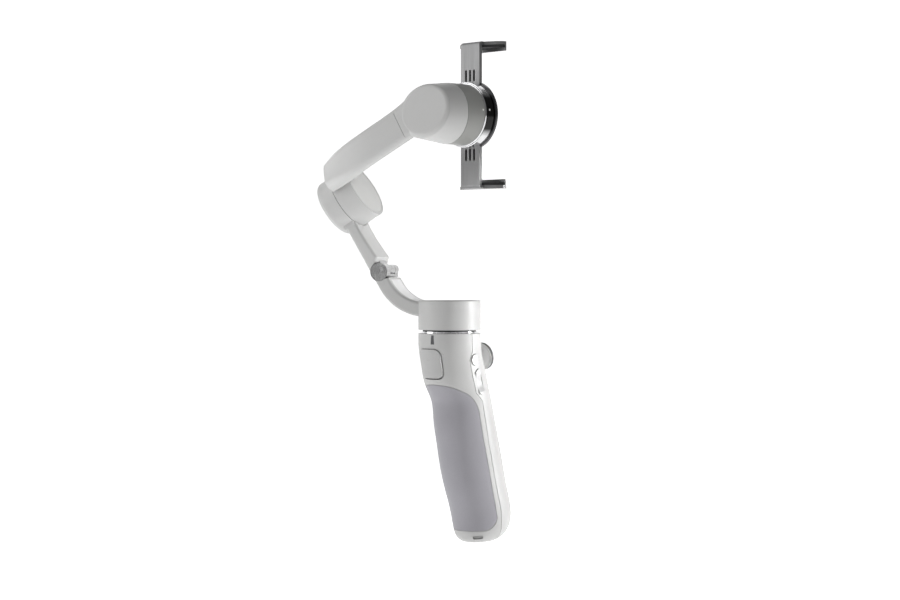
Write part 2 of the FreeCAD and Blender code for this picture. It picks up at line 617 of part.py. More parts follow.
def build_hinge(arm):
    """Metal block in the end of the lower arm, with the barrel that the upper part folds about."""
    sides = [local_rod(ARM_PLANE, DISC_R, 5.2, BAND_HALF - 0.05, DISC_S, DISC_Q)]
    for low, high in ((-BAND_HALF + 0.05, -5.2), (5.2, BAND_HALF - 0.05)):
        sides.append(local_rod(ARM_PLANE, BARREL_R, low, high, HINGE_S, HINGE_Q))
    far_foot = outline((HINGE_S - 2.0, HINGE_Q + 1.0), (HINGE_S + 2.9, HINGE_Q),
                       (DISC_S + 2.0, DISC_Q + 3.0), (DISC_S - 2.6, DISC_Q + 3.0))
    sides.append(plate(ARM_PLANE, far_foot, -BAND_HALF + 0.05, -5.2))
    root = outline((DISC_S - 2.6, DISC_Q + 2.2), (DISC_S + 4.0, DISC_Q + 2.2),
                   (DISC_S + 3.4, DISC_Q + 4.4), (DISC_S - 2.0, DISC_Q + 4.4))
    sides.append(plate(ARM_PLANE, root, -BAND_HALF + 0.05, 6))
    block = fuse(*sides)
    block = block.cut(local_rod(ARM_PLANE, BARREL_R + 0.25, -5.2, 5.2, HINGE_S, HINGE_Q))
    grooves = []
    for n in (-7.6, -8.7):
        ends = [ARM_PLANE.multVec(V(HINGE_S, HINGE_Q, n + d)) for d in (0, 0.35)]
        grooves.append(tube(BARREL_R + 1, BARREL_R - 0.3, *ends))
    pin_hole = local_rod(ARM_PLANE, HINGE_PIN_R, -12, 12, HINGE_S, HINGE_Q)
    grooves = fuse(*grooves).cut(local_rod(ARM_PLANE, DISC_R + 0.01, -12, 12, DISC_S, DISC_Q))
    PARTS["hinge_block"] = block.cut(pin_hole).cut(grooves).cut(arm)
    PARTS["hinge_pin"] = local_rod(ARM_PLANE, HINGE_PIN_R, -9.7, 9.7, HINGE_S, HINGE_Q)


def build_folding_arm():
    """Stator half of the tilt motor with the straight arm down to the fold hinge."""
    half_motor = rod(MOTOR_R, CLAMP + TILT * (TILT_SEAM + 0.3), CLAMP + TILT * TILT_BACK)
    back = (CLAMP + TILT * TILT_BACK).dot(TILT)
    half_motor = fillet(half_motor, 3.2, lambda p: abs(p.dot(TILT) - back) < 0.01)
    hollow = rod(MOTOR_R - CUP_WALL, CLAMP + TILT * TILT_SEAM, CLAMP + TILT * (TILT_BACK - 3.4))
    end_q = HINGE_Q - 7.6
    root_q = 10.0
    edges = outline((BAND_ROOT, root_q), (BAND_OUTER, root_q), (BAND_OUTER, DISC_Q - 1.0),
                    (BAND_INNER, end_q), (BAND_ROOT, BAND_ROOT_Q))
    band = plate(ARM_PLANE, edges, -BAND_HALF, BAND_HALF)
    def long_edge(p):
        return abs(abs((p - CLAMP).dot(N)) - BAND_HALF) < 0.01
    band = fillet(band, 1.6, long_edge)
    low_s, high_s = BAND_INNER + 2, BAND_OUTER + 0.4
    collar_edges = outline((low_s, 0), (high_s, 0), (high_s, 30), (low_s, 30))
    collar = plate(ARM_PLANE, collar_edges, -BAND_HALF - 0.2, BAND_HALF + 0.2)
    band = fuse(band, collar.common(rod(COLLAR_R, CLAMP + TILT * 80, CLAMP + TILT * 110)))
    rotor_clear = rod(MOTOR_R + 0.5, CLAMP + TILT * 70, CLAMP + TILT * (TILT_SEAM + 0.3))
    band = band.cut(rotor_clear)
    disc_clear = local_rod(ARM_PLANE, DISC_R + 0.35, -12, 12, DISC_S, DISC_Q)
    below = outline((DISC_S, DISC_Q - 3.0), (BAND_OUTER + 3, DISC_Q - 3.0),
                    (BAND_OUTER + 3, DISC_Q + 9), (DISC_S, DISC_Q + 9))
    band = band.cut(disc_clear).cut(plate(ARM_PLANE, below, -12, 12))
    arm = fuse(half_motor, band).cut(hollow)
    hub_low = TILT_SEAM + 0.15 - (TILT_BACK - 3)
    hub_foot = local_tube(TILT_BASE, 9, HUB_RI, hub_low, hub_low + 1.2)
    arm = fuse(arm, hub(TILT_BASE, hub_low, 9.2), hub_foot)
    PARTS["folding_arm"] = arm
    motor("tilt", TILT_BASE, 2.0, MOTOR_R, TILT_SEAM - TILT_FACE - 1.5)

    web = outline((HINGE_S, HINGE_Q), (HINGE_S, HINGE_Q - 8.5), (HINGE_S + 4.6, HINGE_Q - 8.5),
                  (HINGE_S + 4.6, HINGE_Q - 2.0))
    knuckle = fuse(local_rod(ARM_PLANE, BARREL_R, -4.9, 4.9, HINGE_S, HINGE_Q),
                   plate(ARM_PLANE, web, -4.9, 4.9))
    knuckle = knuckle.cut(local_rod(ARM_PLANE, HINGE_PIN_R + 0.05, -12, 12, HINGE_S, HINGE_Q))
    PARTS["hinge_knuckle"] = knuckle.cut(arm)


def leg_section(s, away, across, half_width, half_thick, turn_deg):
    """Outline of the long leg at one distance along the tilt axis."""
    turn = math.radians(turn_deg)
    wide = ARM_W * math.cos(turn) - ARM_P * math.sin(turn)
    wire = Part.Wire(rounded(half_width, half_thick, LEG_ROUND))
    wire.Placement = placement(CLAMP + TILT * s + ARM_P * away + ARM_W * across, wide, TILT)
    return wire


def build_upper_arm():
    """Rotor half of the tilt motor, the curved leg, and the roll motor's head, as one casting."""
    leg = Part.makeLoft([leg_section(*row) for row in LEG_SECTIONS], True, False)
    end_turn = math.radians(LEG_SECTIONS[-1][-1])
    out = ARM_P * math.cos(end_turn) + ARM_W * math.sin(end_turn)
    end_frame = placement(CLAMP, TILT, out)
    x0, y0, bulge = LEG_END - LEG_CORNER_R, -LEG_CORNER_W, LEG_CORNER_R * (1 - math.sqrt(0.5))
    corner = outline((x0, y0 - 4), (LEG_END + 9, y0 - 4), (LEG_END + 9, y0 + LEG_CORNER_R),
                     (LEG_END, y0 + LEG_CORNER_R), ((LEG_END - bulge, y0 + bulge), (x0, y0)))
    corner = plate(end_frame, corner, 5, 45)

    slope = (ROLL_R - HEAD_END_R) / HEAD_TAPER
    narrow = slope * HEAD_LENGTH
    root = CLAMP + Y * (ROLL_SEAM + 0.15)
    head = Part.makeCone(ROLL_R, ROLL_R - narrow, HEAD_LENGTH, root, Y)
    beyond = plate(LEG_FACE, rounded(60, 60, 5), LEG_OUT, LEG_OUT + 60)
    face_level = CLAMP.dot(ARM_P) + LEG_OUT
    head = fillet(head.cut(beyond), HEAD_ROUND, lambda p: abs(p.dot(ARM_P) - face_level) < 0.02)
    outside = head.fuse(leg)
    cup = rod(MOTOR_R, CLAMP + TILT * TILT_FACE, CLAMP + TILT * TILT_SEAM)
    arm = outside.fuse(cup)
    arm = arm.cut(rod(MOTOR_R - CUP_WALL, CLAMP + TILT * (TILT_FACE + 1.5), CLAMP + TILT * 99))
    room_r = ROLL_R - CUP_WALL
    inner_room = Part.makeCone(room_r, room_r - narrow, HEAD_LENGTH, CLAMP + Y * ROLL_SEAM, Y)
    inner_room = inner_room.cut(plate(LEG_FACE, rounded(60, 60, 5), LEG_OUT - 3.5, LEG_OUT + 60))
    arm = arm.cut(inner_room)
    cap_floor = CLAMP + TILT * (TILT_FACE + TILT_CAP_DEPTH)
    arm = arm.cut(rod(TILT_CAP_R + 0.15, CLAMP + TILT * (TILT_FACE - 1), cap_floor))
    PARTS["tilt_cap"] = rod(TILT_CAP_R, CLAMP + TILT * (TILT_FACE + 0.05), cap_floor)
    web = plate(placement(CLAMP, X, Y), rounded(15.4, 15.4, 15.3), 28, 29.5)
    for i in range(WEB_HOLES):
        angle = 2 * math.pi * (i + 0.5) / WEB_HOLES
        centre = CLAMP + V(math.cos(angle), 0, math.sin(angle)) * WEB_HOLE_REACH
        web = web.cut(rod(WEB_HOLE_R, centre + Y * 20, centre + Y * 40))
    web = web.cut(rod(HUB_RI, CLAMP + Y * 20, CLAMP + Y * 40))
    arm = fuse(arm, web, hub(ROLL_BASE, -6.5, 9.4))

    # Outer cover of the roll motor's head, lying in a shallow step and split off across the leg
    under = LEG_OUT - COVER_THICK
    cover = plate(LEG_FACE, rounded(30, 30, 3, COVER_END - 30), under, LEG_OUT + 6)
    step = plate(LEG_FACE, rounded(30.2, 30.2, 3.2, COVER_END - 30), under - 0.1, LEG_OUT + 6)
    PARTS["roll_cover"] = outside.common(cover)
    PARTS["upper_arm"] = arm.cut(step).cut(corner)
    motor("roll", ROLL_BASE, 2.0, ROLL_R, ROLL_SEAM - 9.0 - 1.6)


# ------------------------------------------------------------------ clamp

def clamp_rod(r, low, high):
    return rod(r, CLAMP + Y * low, CLAMP + Y * high)


def clamp_box(x0, x1, y0, y1, z0, z1):
    return Part.makeBox(x1 - x0, y1 - y0, z1 - z0, CLAMP + V(x0, y0, z0))


def build_clamp():
    housing = clamp_rod(ROLL_R, 9.0, ROLL_SEAM - 0.15)
    PARTS["roll_housing"] = housing.cut(clamp_rod(ROLL_R - CUP_WALL, 10.6, 40))
    plate_disc = clamp_rod(18.4, 8.1, 9.0)
    PARTS["mount_plate"] = fillet(plate_disc, 0.6, lambda p: p.y > CLAMP.y + 8.9)

    channel = clamp_box(-STRIP_HALF - 0.3, STRIP_HALF + 0.3, 0.5, 3.3, -30, 30)
    back = clamp_rod(DISC_BACK_R, 0.5, 0.5 + DISC_BACK_H)
    body = fuse(back, clamp_rod(RING_BORE, 2.0, 7.9)).cut(channel)
    PARTS["clamp_body"] = body.cut(clamp_rod(MAGNET_R + 0.1, 4.4, 9))
    ring = clamp_rod(RING_R, 2.0, 8.0).cut(clamp_rod(RING_BORE, 0, 9))
    PARTS["clamp_ring"] = fillet(ring, 0.5, lambda p: p.y > CLAMP.y + 7.9).cut(channel)
    PARTS["clamp_magnet"] = clamp_rod(MAGNET_R, 4.4, 7.8)
    PARTS["clamp_pad"] = clamp_rod(16.5, 0.0, 0.5)
    PARTS["clamp_springs"] = Part.makeCompound([
        tube(0.8, 0.35, CLAMP + V(x, 1.9, -8.2), CLAMP + V(x, 1.9, 8.2)) for x in (-1.0, 1.0)])

    for name, up in (("upper_jaw", 1), ("lower_jaw", -1)):
        strip = clamp_box(-STRIP_HALF, STRIP_HALF, 0.75, 3.0, 9.0, JAW_HALF)
        top = plate(placement(CLAMP, X, Z), outline(
            (-STRIP_HALF, 3.0), (STRIP_HALF, 3.0), (STRIP_HALF, -1.0), (JAW_WING - 3, -4.0),
            (JAW_WING, -6.6), (JAW_WING, -9.2), (-JAW_WING, -9.2), (-JAW_WING, -6.6),
            (3 - JAW_WING, -4.0), (-STRIP_HALF, -1.0)), JAW_OPEN_HALF + 1.5, JAW_HALF)
        lip = clamp_box(-JAW_WING, JAW_WING, -9.2, -8.2, JAW_OPEN_HALF - 2.0, JAW_HALF)
        jaw = fuse(strip, top, lip)
        jaw = fillet(jaw, 2.0, lambda p: p.z > CLAMP.z + JAW_HALF - 0.01 and p.y > CLAMP.y + 2.9)
        for x in (-SLOT_PITCH, 0, SLOT_PITCH):
            slot = rounded(SLOT_HALF_WIDTH, SLOT_HALF, SLOT_HALF_WIDTH - 0.05, x, -SLOT_FROM_CENTRE)
            jaw = jaw.cut(plate(placement(CLAMP, X, Y), slot, -2, 5))
        jaw = jaw.cut(clamp_box(-2.1, 2.1, 0, 4, 0, 16.0))
        pad = plate(placement(CLAMP, X, Z), outline(
            (-STRIP_HALF + 0.6, -0.3), (STRIP_HALF - 0.6, -0.3), (JAW_WING - 3.4, -4.4),
            (JAW_WING - 0.5, -6.8), (JAW_WING - 0.5, -8.2), (0.5 - JAW_WING, -8.2),
            (0.5 - JAW_WING, -6.8), (3.4 - JAW_WING, -4.4)), JAW_OPEN_HALF, JAW_OPEN_HALF + 1.5)
        if up < 0:
            jaw = jaw.mirror(CLAMP, Z)
            pad = pad.mirror(CLAMP, Z)
        PARTS[name + "_plate"] = jaw
        PARTS[name + "_pad"] = pad


build_handle()
build_controls()
build_rod()
build_pan()
build_folding_arm()
build_upper_arm()
build_clamp()

os.makedirs("parts", exist_ok=True)
for name, shape in PARTS.items():
    shape.exportStep("parts/%s.step" % name)
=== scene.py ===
import json
import math

import bmesh
import bpy
from mathutils import Matrix, Vector


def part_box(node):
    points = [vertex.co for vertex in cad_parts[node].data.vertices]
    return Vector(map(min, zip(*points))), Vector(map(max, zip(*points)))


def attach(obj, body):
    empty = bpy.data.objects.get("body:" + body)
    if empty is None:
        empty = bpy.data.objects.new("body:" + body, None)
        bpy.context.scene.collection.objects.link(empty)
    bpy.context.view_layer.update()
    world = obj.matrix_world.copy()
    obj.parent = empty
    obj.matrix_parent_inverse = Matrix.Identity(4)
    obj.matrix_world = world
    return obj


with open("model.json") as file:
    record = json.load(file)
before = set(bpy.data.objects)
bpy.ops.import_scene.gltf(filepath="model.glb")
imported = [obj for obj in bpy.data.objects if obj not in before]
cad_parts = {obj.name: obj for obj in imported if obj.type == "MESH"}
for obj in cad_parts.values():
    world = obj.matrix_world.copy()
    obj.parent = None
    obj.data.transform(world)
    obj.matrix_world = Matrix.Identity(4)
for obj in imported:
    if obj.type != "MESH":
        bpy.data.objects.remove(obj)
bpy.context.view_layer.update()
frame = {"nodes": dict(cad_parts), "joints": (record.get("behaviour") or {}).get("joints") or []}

MM = 0.001
X, Y, Z = Vector((1, 0, 0)), Vector((0, 1, 0)), Vector((0, 0, 1))

# Sizes shared with the modelled parts, in metres
STICK_CAP_R = 8.0 * MM
STICK_CAP_TOP = 14.9 * MM            # above the joystick's pivot
CHEEK_OUT = 1.8 * MM                 # the hinge's round cheek, from the fold axis along the tilt axis
CHEEK_DOWN = 0.5 * MM
# ring of painted shadow in the gap around the hinge's cheek
SHADOW_RING_R = 5.47 * MM
SHADOW_RING_SIDE = 8.0 * MM               # its middle, from the fold axis towards the camera
SLOT_LEVEL = 23.0 * MM               # middle of the jaws' slots, from the clamp's centre
STRIP_FRONT = 0.62 * MM              # just in front of the jaws' strips

# Materials and light
TURNING_PITCH = 0.30 * MM
SHEET_PITCH = 0.35 * MM
REFLECTION_BAND_NEAR, REFLECTION_BAND_FAR = 9 * MM, 13 * MM   # where the clamp ring's painted dark reflection begins to fade and ends
SWEEP_GLOW = 0.75
WORLD_STRENGTH = 0.16
MIDDLE = Vector((0.02, 0.02, 0.15))     # of the whole object


# ------------------------------------------------------------------ places, from the frame

def joint(name):
    return next(j for j in frame["joints"] if j["name"] == name)


def middle(node):
    low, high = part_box(node)
    return (Vector(low) + Vector(high)) / 2


PAN_CENTRE = Vector(joint("pan")["pos_m"])
CLAMP = Vector(joint("tilt")["pos_m"])
TILT = Vector(joint("tilt")["axis"]).normalized()
FOLD_AT = Vector(joint("fold")["pos_m"])
FOLD = Vector(joint("fold")["axis"]).normalized()
STICK_AT = Vector(joint("joystick_updown")["pos_m"])
STICK = X.cross(Vector(joint("joystick_side")["axis"])).normalized()


def along(direction, twist=None):
    """Rotation whose z is the direction and whose x is as near the twist as it can be."""
    z = direction.normalized()
    hint = twist if twist else (X if abs(z.x) < 0.9 else Y)
    y = z.cross(hint).normalized()
    return Matrix((y.cross(z), y, z)).transposed()


# ------------------------------------------------------------------ material nodes

class Surface:
    """A Principled material with helpers for its node tree, in the object's own coordinates."""

    def __init__(self, name, colour, roughness, **sockets):
        self.material = bpy.data.materials.new(name)
        self.material.use_nodes = True
        self.tree = self.material.node_tree
        self.shader = self.tree.nodes["Principled BSDF"]
        self.colour = colour
        self.shader.inputs["Base Color"].default_value = (*colour, 1)
        self.shader.inputs["Roughness"].default_value = roughness
        for socket, value in sockets.items():
            self.shader.inputs[socket.replace("_", " ")].default_value = value
        self.coordinates = self.node("ShaderNodeTexCoord").outputs["Object"]
        self.normal = None

    def node(self, kind, inputs=None, **settings):
        made = self.tree.nodes.new(kind)
        for key, value in settings.items():
            setattr(made, key, value)
        for key, value in (inputs or {}).items():
            if isinstance(value, bpy.types.NodeSocket):
                self.tree.links.new(value, made.inputs[key])
            else:
                made.inputs[key].default_value = value
        return made

    def placed(self, origin=(0, 0, 0), turn=None, scale=(1, 1, 1)):
        """The object's coordinates, seen from a local frame."""
        angles = turn.to_euler() if turn else (0, 0, 0)
        moved = self.node("ShaderNodeMapping", {"Vector": self.coordinates, "Location": tuple(origin),
                                                "Rotation": tuple(angles)}, vector_type="TEXTURE")
        return self.node("ShaderNodeMapping", {"Vector": moved.outputs[0], "Scale": scale}).outputs[0]

    def noise(self, scale, detail=2.0, vector=None):
        return self.node("ShaderNodeTexNoise", {"Vector": vector or self.coordinates, "Scale": scale,
                                                "Detail": detail}).outputs["Fac"]

    def remap(self, value, low, high, start=0.3, end=0.7):
        return self.node("ShaderNodeMapRange", {"Value": value, "From Min": start, "From Max": end,
                                                "To Min": low, "To Max": high}).outputs["Result"]

    def math(self, operation, a, b=0.0):
        return self.node("ShaderNodeMath", {0: a, 1: b}, operation=operation).outputs[0]

    def mottle(self, scale, amount, detail=3.0, vector=None):
        """Slow change of brightness over the surface."""
        self.tint(self.remap(self.noise(scale, detail, vector), 1 - amount, 1 + amount))

    def blend(self, factor, other, mode):
        """Mixes something into the base colour, after whatever is there already."""
        socket = self.shader.inputs["Base Color"]
        here = socket.links[0].from_socket if socket.is_linked else (*self.colour, 1)
        mixed = self.node("ShaderNodeMix", {0: factor, 6: here, 7: other}, data_type="RGBA",
                          blend_type=mode).outputs[2]
        self.tree.links.new(mixed, socket)

    def tint(self, value):
        """Multiplies the base colour by a value."""
        grey = self.node("ShaderNodeCombineColor", {0: value, 1: value, 2: value}).outputs[0]
        self.blend(1.0, grey, "MULTIPLY")

    def vary_roughness(self, scale, low, high, detail=4.0, vector=None):
        self.tree.links.new(self.remap(self.noise(scale, detail, vector), low, high),
                            self.shader.inputs["Roughness"])

    def bump(self, height, distance, strength=1.0):
        """Relief in metres, on top of any earlier relief."""
        inputs = {"Height": height, "Distance": distance, "Strength": strength}
        if self.normal:
            inputs["Normal"] = self.normal
        self.normal = self.node("ShaderNodeBump", inputs).outputs[0]
        self.tree.links.new(self.normal, self.shader.inputs["Normal"])

    def waves(self, value, pitch):
        """A sine of a length, repeating at the pitch."""
        return self.math("SINE", self.math("MULTIPLY", value, 2 * math.pi / pitch))

    def rings(self, origin, axis, pitch, distance):
        """Turned grooves around an axis; gives back the distance from it."""
        split = self.node("ShaderNodeSeparateXYZ", {0: self.placed(origin, along(axis))})
        squares = [self.math("MULTIPLY", split.outputs[i], split.outputs[i]) for i in (0, 1)]
        radius = self.math("SQRT", self.math("ADD", *squares))
        self.bump(self.waves(radius, pitch), distance)
        return radius


def moulded(name, colour, roughness, grain=5200.0, depth=0.018, **sockets):
    """Injection-moulded plastic: fine spark texture, slow flow marks, faint handling sheen."""
    s = Surface(name, colour, roughness, **sockets)
    s.mottle(28.0, 0.018)
    s.mottle(900.0, 0.009)
    s.vary_roughness(160.0, roughness - 0.05, roughness + 0.05)
    s.bump(s.noise(grain, 3.0), depth * MM)
    s.bump(s.noise(140.0, 2.0), 0.03 * MM, 0.4)
    return s.material


def brushed(name, colour, roughness, axis, depth=0.012):
    """Metal with brush lines along an axis."""
    s = Surface(name, colour, roughness, Metallic=1.0)
    lines = s.placed(turn=along(axis), scale=(1, 1, 0.02))
    s.mottle(2600.0, 0.06, 2.0, lines)
    s.vary_roughness(1800.0, roughness - 0.08, roughness + 0.10, 2.0, lines)
    s.bump(s.noise(5200.0, 2.0, lines), depth * MM)
    return s.material


def turned(name, colour, roughness, origin, axis, depth=0.02):
    """Metal turned on a lathe: concentric marks around its own axis."""
    s = Surface(name, colour, roughness, Metallic=1.0)
    radius = s.rings(origin, axis, TURNING_PITCH, depth * MM)
    fine = s.node("ShaderNodeCombineXYZ", {0: radius})
    s.tint(s.remap(s.noise(6000.0, 2.0, fine.outputs[0]), 0.86, 1.10))
    s.vary_roughness(300.0, roughness - 0.07, roughness + 0.10)
    return s.material


def polished(name, colour, roughness=0.07):
    """Bright plating with the faintest haze and hairlines."""
    s = Surface(name, colour, roughness, Metallic=1.0)
    s.mottle(220.0, 0.03)
    s.vary_roughness(700.0, roughness * 0.6, roughness * 1.8)
    s.bump(s.noise(3800.0, 2.0, s.placed(scale=(1, 1, 6))), 0.0015 * MM)
    return s.material


def ring_with_painted_reflection(name, bright, dark):
    """Bright plated ring whose two sides, level with its centre, carry a dark band of painted
    reflection, standing in for the dark parts it mirrors there.
    """
    s = Surface(name, bright, 0.12, Metallic=1.0)
    height = s.node("ShaderNodeSeparateXYZ", {0: s.placed(CLAMP)}).outputs[2]
    away = s.math("ABSOLUTE", height)
    # painted reflection: the base colour turns dark near the ring's centre level
    s.blend(s.remap(away, 1.0, 0.0, REFLECTION_BAND_NEAR, REFLECTION_BAND_FAR), (*dark, 1), "MIX")
    s.mottle(400.0, 0.05)
    s.vary_roughness(700.0, 0.08, 0.20)
    s.bump(s.noise(3800.0, 2.0), 0.002 * MM)
    return s.material


def soft_touch(name, colour):
    """Soft-touch rubber: velvety, very fine pebble, slightly darker where hands polish it."""
    s = Surface(name, colour, 0.62, Sheen_Weight=0.22, Sheen_Roughness=0.45, Specular_IOR_Level=0.38)
    s.mottle(35.0, 0.03)
    s.mottle(1500.0, 0.02)
    s.vary_roughness(60.0, 0.54, 0.70)
    pebble = s.node("ShaderNodeTexVoronoi", {"Vector": s.coordinates, "Scale": 3400.0})
    s.bump(pebble.outputs["Distance"], -0.02 * MM)
    s.bump(s.noise(420.0, 3.0), 0.02 * MM, 0.5)
    return s.material


def rubber(name, colour, roughness=0.75):
    """Dull rubber with a fine grain."""
    s = Surface(name, colour, roughness, Specular_IOR_Level=0.35)
    s.mottle(300.0, 0.10)
    s.vary_roughness(500.0, roughness - 0.08, roughness + 0.08)
    s.bump(s.noise(4200.0, 3.0), 0.02 * MM)
    return s.material


def laminated(name, colour, axis):
    """A stack of thin steel sheets."""
    s = Surface(name, colour, 0.45, Metallic=1.0)
    split = s.node("ShaderNodeSeparateXYZ", {0: s.placed(turn=along(axis))})
    sheets = s.waves(split.outputs[2], SHEET_PITCH)
    s.tint(s.remap(sheets, 0.75, 1.05, -1, 1))
    s.bump(sheets, 0.03 * MM)
    return s.material


def circuit(name, colour):
    """Solder mask with paler tracks under it."""
    s = Surface(name, colour, 0.35, Coat_Weight=0.3)
    cells = s.node("ShaderNodeTexBrick", {"Vector": s.placed(turn=along(Y)), "Scale": 260.0,
                                          "Color1": (1, 1, 1, 1), "Color2": (0.8, 0.8, 0.8, 1),
                                          "Mortar": (1.9, 1.9, 1.9, 1)}).outputs["Color"]
    s.blend(1.0, cells, "MULTIPLY")
    s.bump(s.noise(2500.0), 0.02 * MM)
    return s.material


# ------------------------------------------------------------------ materials of the CAD nodes

PALE = (0.56, 0.56, 0.555)
PLATING = (0.74, 0.74, 0.75)
GROUND_STEEL = (0.62, 0.62, 0.63)
SHEET_STEEL = (0.36, 0.34, 0.32)
cover_grey = moulded("front cover plastic", PALE, 0.46)
shell_grey = moulded("rear shell plastic", (0.475, 0.475, 0.470), 0.50)
pan_grey = moulded("pan motor plastic", (0.49, 0.49, 0.485), 0.48)
arm_grey = moulded("arm plastic", PALE, 0.48)
# darker grey: partly the roll housing's own tone, partly painted shade where the phone's shadow falls
# on it
motor_grey = moulded("motor plastic", (0.31, 0.312, 0.30), 0.42)
light_panel = moulded("panel plastic", (0.68, 0.68, 0.68), 0.40)
cap_grey = moulded("end cap plastic", (0.60, 0.60, 0.585), 0.34, grain=7000.0, depth=0.008,
                   Coat_Weight=0.25)
button_grey = moulded("button plastic", (0.60, 0.60, 0.60), 0.28, grain=7000.0, depth=0.006,
                      Coat_Weight=0.3)
trigger_grey = moulded("trigger plastic", (0.42, 0.42, 0.418), 0.44)
dark_gloss = moulded("dark gloss plastic", (0.035, 0.035, 0.038), 0.22, depth=0.006, Coat_Weight=0.35)
dark_matte = moulded("dark matte plastic", (0.03, 0.03, 0.03), 0.6)
inlay = moulded("inlay plastic", (0.07, 0.07, 0.075), 0.5)
lens = moulded("light lens plastic", (0.70, 0.80, 0.74), 0.25, depth=0.004, Transmission_Weight=0.3)
battery = moulded("battery wrap", (0.03, 0.06, 0.20), 0.35, depth=0.01)
stick_grey = moulded("joystick plastic", (0.90, 0.90, 0.89), 0.42)
grip = soft_touch("soft grip", (0.315, 0.309, 0.336))
pad_rubber = rubber("pad rubber", (0.025, 0.025, 0.026))
ring_chrome = polished("polished plating", PLATING)
# plating with a painted dark reflection band at its middle
ring_painted_reflection = ring_with_painted_reflection("clamp ring plating", PLATING, (0.03, 0.03, 0.03))
clamp_gloss = moulded("clamp body plastic", (0.030, 0.030, 0.033), 0.20, depth=0.004, Coat_Weight=0.4)
jaw_metal = brushed("dark brushed jaw", (0.265, 0.265, 0.267), 0.42, Z)
tube_metal = brushed("anodised tube", (0.60, 0.60, 0.61), 0.30, Z, depth=0.006)
port_metal = brushed("port metal", (0.50, 0.50, 0.51), 0.30, Z)
brass = turned("turned brass", (0.66, 0.50, 0.24), 0.30, (0, 0, 0), Z)
hinge_metal = turned("turned hinge metal", (0.44, 0.44, 0.44), 0.22, FOLD_AT, FOLD, depth=0.006)
pin_metal = brushed("ground pin", GROUND_STEEL, 0.25, X)
screw_metal = turned("zinc screw", (0.45, 0.45, 0.46), 0.35, middle("handle_screws"), Y)
magnet_metal = polished("nickel plating", (0.58, 0.56, 0.53), 0.16)
spring_metal = brushed("spring wire", (0.50, 0.50, 0.50), 0.35, Z)
board = circuit("circuit board", (0.02, 0.12, 0.05))
pan_steel = laminated("pan laminations", SHEET_STEEL, Z)
tilt_steel = laminated("tilt laminations", SHEET_STEEL, TILT)
roll_steel = laminated("roll laminations", SHEET_STEEL, Y)
pan_race = turned("pan bearing steel", GROUND_STEEL, 0.2, PAN_CENTRE, Z)
tilt_race = turned("tilt bearing steel", GROUND_STEEL, 0.2, CLAMP, TILT)
roll_race = turned("roll bearing steel", GROUND_STEEL, 0.2, CLAMP, Y)

FINISHES = {
    cover_grey: ["front_cover"],
    shell_grey: ["rear_shell", "record_button"],
    pan_grey: ["pan_housing"],
    arm_grey: ["folding_arm", "upper_arm", "roll_cover"],
    motor_grey: ["roll_housing"],
    light_panel: ["lower_arm_cover"],
    cap_grey: ["tilt_cap"],
    button_grey: ["side_button", "zoom_rocker"],
    trigger_grey: ["trigger"],
    dark_gloss: ["joystick_bezel"],
    dark_matte: ["joystick_base", "joystick_ring", "button_switches", "pan_stator_carrier"],
    inlay: ["alignment_mark"],
    lens: ["status_lights"],
    battery: ["battery_pack"],
    stick_grey: ["joystick_cap"],
    grip: ["grip_pad"],
    pad_rubber: ["clamp_pad", "upper_jaw_pad", "lower_jaw_pad"],
    ring_chrome: ["pan_base_ring", "mount_plate"],
    ring_painted_reflection: ["clamp_ring"],
    clamp_gloss: ["clamp_body"],
    jaw_metal: ["upper_jaw_plate", "lower_jaw_plate"],
    tube_metal: ["rod_guide", "rod_tube_1", "rod_tube_2", "rod_tube_3"],
    port_metal: ["usb_port"],
    brass: ["tripod_insert"],
    hinge_metal: ["hinge_block", "hinge_knuckle"],
    pin_metal: ["trigger_pin", "hinge_pin", "joystick_stem", "pan_shaft", "tilt_shaft", "roll_shaft"],
    screw_metal: ["handle_screws"],
    magnet_metal: ["pan_magnets", "tilt_magnets", "roll_magnets", "clamp_magnet"],
    spring_metal: ["clamp_springs"],
    board: ["main_board"],
    pan_steel: ["pan_stator"],
    tilt_steel: ["tilt_stator"],
    roll_steel: ["roll_stator"],
    pan_race: ["pan_bearings"],
    tilt_race: ["tilt_bearings"],
    roll_race: ["roll_bearings"],
}
for material, names in FINISHES.items():
    for name in names:
        slots = frame["nodes"][name].data.materials
        if not slots:
            slots.append(material)
        for i in range(len(slots)):
            slots[i] = material


# ------------------------------------------------------------------ fine pieces

def added(name, data):
    """A new object in the scene."""
    made = bpy.data.objects.new(name, data)
    bpy.context.scene.collection.objects.link(made)
    return made


def piece(name, mesh, material, body):
    """Turns a bmesh into an object that rides on a body."""
    bmesh.ops.recalc_face_normals(mesh, faces=mesh.faces)
    data = bpy.data.meshes.new(name)
    for face in mesh.faces:
        face.smooth = True
    mesh.to_mesh(data)
    mesh.free()
    data.materials.append(material)
    made = added(name, data)
    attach(made, body)


def around(axis, count):
    """Directions square to an axis, evenly spaced round it."""
    turn = along(axis)
    angles = [2 * math.pi * i / count for i in range(count)]
    return [turn @ Vector((math.cos(angle), math.sin(angle), 0)) for angle in angles]


def lathe(mesh, profile, origin, axis, segments=48, closed=True):
    """Turns (radius, height) points around an axis through the origin."""
    turn = along(axis)
    rings = []
    for radius, height in profile:
        if radius == 0:
            rings.append([mesh.verts.new(origin + turn @ Vector((0, 0, height)))] * segments)
            continue
        rings.append([])
        for i in range(segments):
            angle = 2 * math.pi * i / segments
            local = Vector((radius * math.cos(angle), radius * math.sin(angle), height))
            rings[-1].append(mesh.verts.new(origin + turn @ local))
    pairs = list(zip(rings, rings[1:])) + ([(rings[-1], rings[0])] if closed else [])
    for low, high in pairs:
        for i in range(segments):
            corners = [low[i], low[(i + 1) % segments], high[(i + 1) % segments], high[i]]
            corners = [c for k, c in enumerate(corners) if c not in corners[:k]]
            if len(corners) > 2:
                mesh.faces.new(corners)


